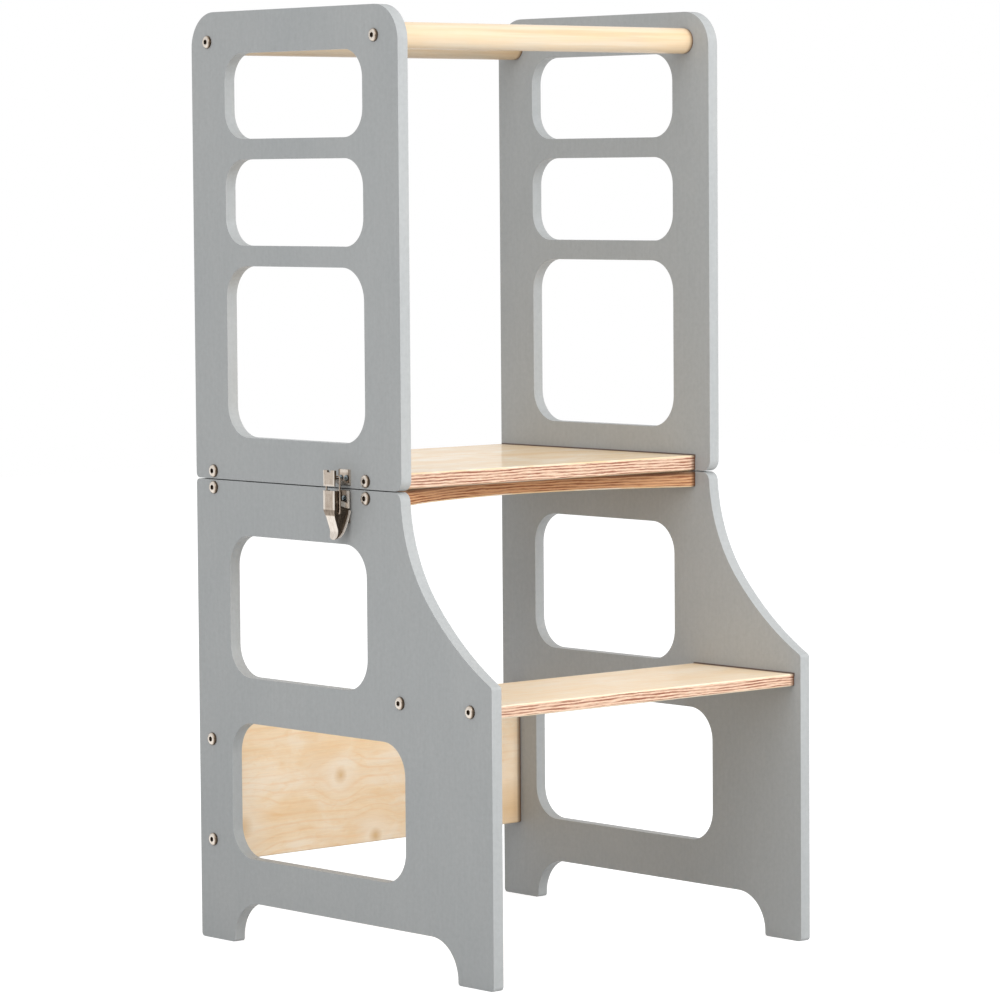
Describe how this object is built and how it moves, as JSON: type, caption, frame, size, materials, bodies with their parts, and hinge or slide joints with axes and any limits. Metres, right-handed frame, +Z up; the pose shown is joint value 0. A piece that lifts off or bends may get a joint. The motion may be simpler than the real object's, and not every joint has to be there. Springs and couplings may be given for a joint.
{
  "type": "convertible children's kitchen tower",
  "caption": "Wooden standing tower for toddlers with a step, a guarded platform and a hinged upper section that folds over to make a small table.",
  "frame": {"origin": "on the floor, under the middle of the box round the whole tower, hinges and latches included", "axes": "+X to the right as seen from the step side, -Y towards the step, +Y towards the hinges, +Z up"},
  "size_m": [0.448, 0.4372, 0.9],
  "materials": {
    "grey_sides": "satin grey paint on birch plywood",
    "birch_ply": "clear satin lacquer on birch plywood",
    "rail_wood": "clear satin lacquer on solid wood",
    "screws": "polished nickel plate",
    "hinges": "plain nickel plate",
    "latches": "bright nickel plate",
    "latch_screws": "zinc plate"
  },
  "bodies": {
    "base": {"lower_side_left": "grey_sides", "lower_side_right": "grey_sides", "lower_platform": "birch_ply", "step_board": "birch_ply", "back_panel": "birch_ply", "lower_platform_screws": "screws", "step_screws": "screws", "back_panel_screws": "screws", "lower_hinge_leaf_left": "hinges", "lower_hinge_leaf_right": "hinges", "hinge_pin_left": "hinges", "hinge_pin_right": "hinges", "lower_hinge_screws": "hinges", "latch_base_left": "latches", "latch_base_right": "latches", "latch_base_screws_left": "latch_screws", "latch_base_screws_right": "latch_screws", "latch_pivot_left": "latches", "latch_pivot_right": "latches"},
    "upper_section": {"upper_side_left": "grey_sides", "upper_side_right": "grey_sides", "upper_platform": "birch_ply", "front_rail": "rail_wood", "rear_rail": "rail_wood", "rail_screws": "screws", "upper_platform_screws": "screws", "upper_hinge_leaf_left": "hinges", "upper_hinge_leaf_right": "hinges", "upper_hinge_screws": "hinges", "latch_catch_left": "latches", "latch_catch_right": "latches", "latch_catch_screws_left": "latch_screws", "latch_catch_screws_right": "latch_screws"},
    "lever_left": {"latch_lever_left": "latches"},
    "lever_right": {"latch_lever_right": "latches"},
    "loop_left": {"latch_loop_left": "latches"},
    "loop_right": {"latch_loop_right": "latches"}
  },
  "joints": [
    {"name": "fold", "type": "hinge", "parent": "base", "child": "upper_section", "pos_m": [0, 0.2166, 0.45], "axis": [-1, 0, 0], "range_deg": [0, 180]},
    {"name": "latch_lever_left", "type": "hinge", "parent": "base", "child": "lever_left", "pos_m": [-0.22, -0.0131, 0.4385], "axis": [0, 1, 0], "range_deg": [0, 105]},
    {"name": "latch_loop_left", "type": "hinge", "parent": "lever_left", "child": "loop_left", "pos_m": [-0.2187, -0.0131, 0.4276], "axis": [0, 1, 0], "range_deg": [-78.75, 0]},
    {"name": "latch_lever_right", "type": "hinge", "parent": "base", "child": "lever_right", "pos_m": [0.22, -0.0131, 0.4385], "axis": [0, -1, 0], "range_deg": [0, 105]},
    {"name": "latch_loop_right", "type": "hinge", "parent": "lever_right", "child": "loop_right", "pos_m": [0.2187, -0.0131, 0.4276], "axis": [0, -1, 0], "range_deg": [-78.75, 0]}
  ],
  "couplings": [
    {"joint": "latch_loop_left", "follows": "latch_lever_left", "ratio": -0.75},
    {"joint": "latch_loop_right", "follows": "latch_lever_right", "ratio": -0.75}
  ]
}
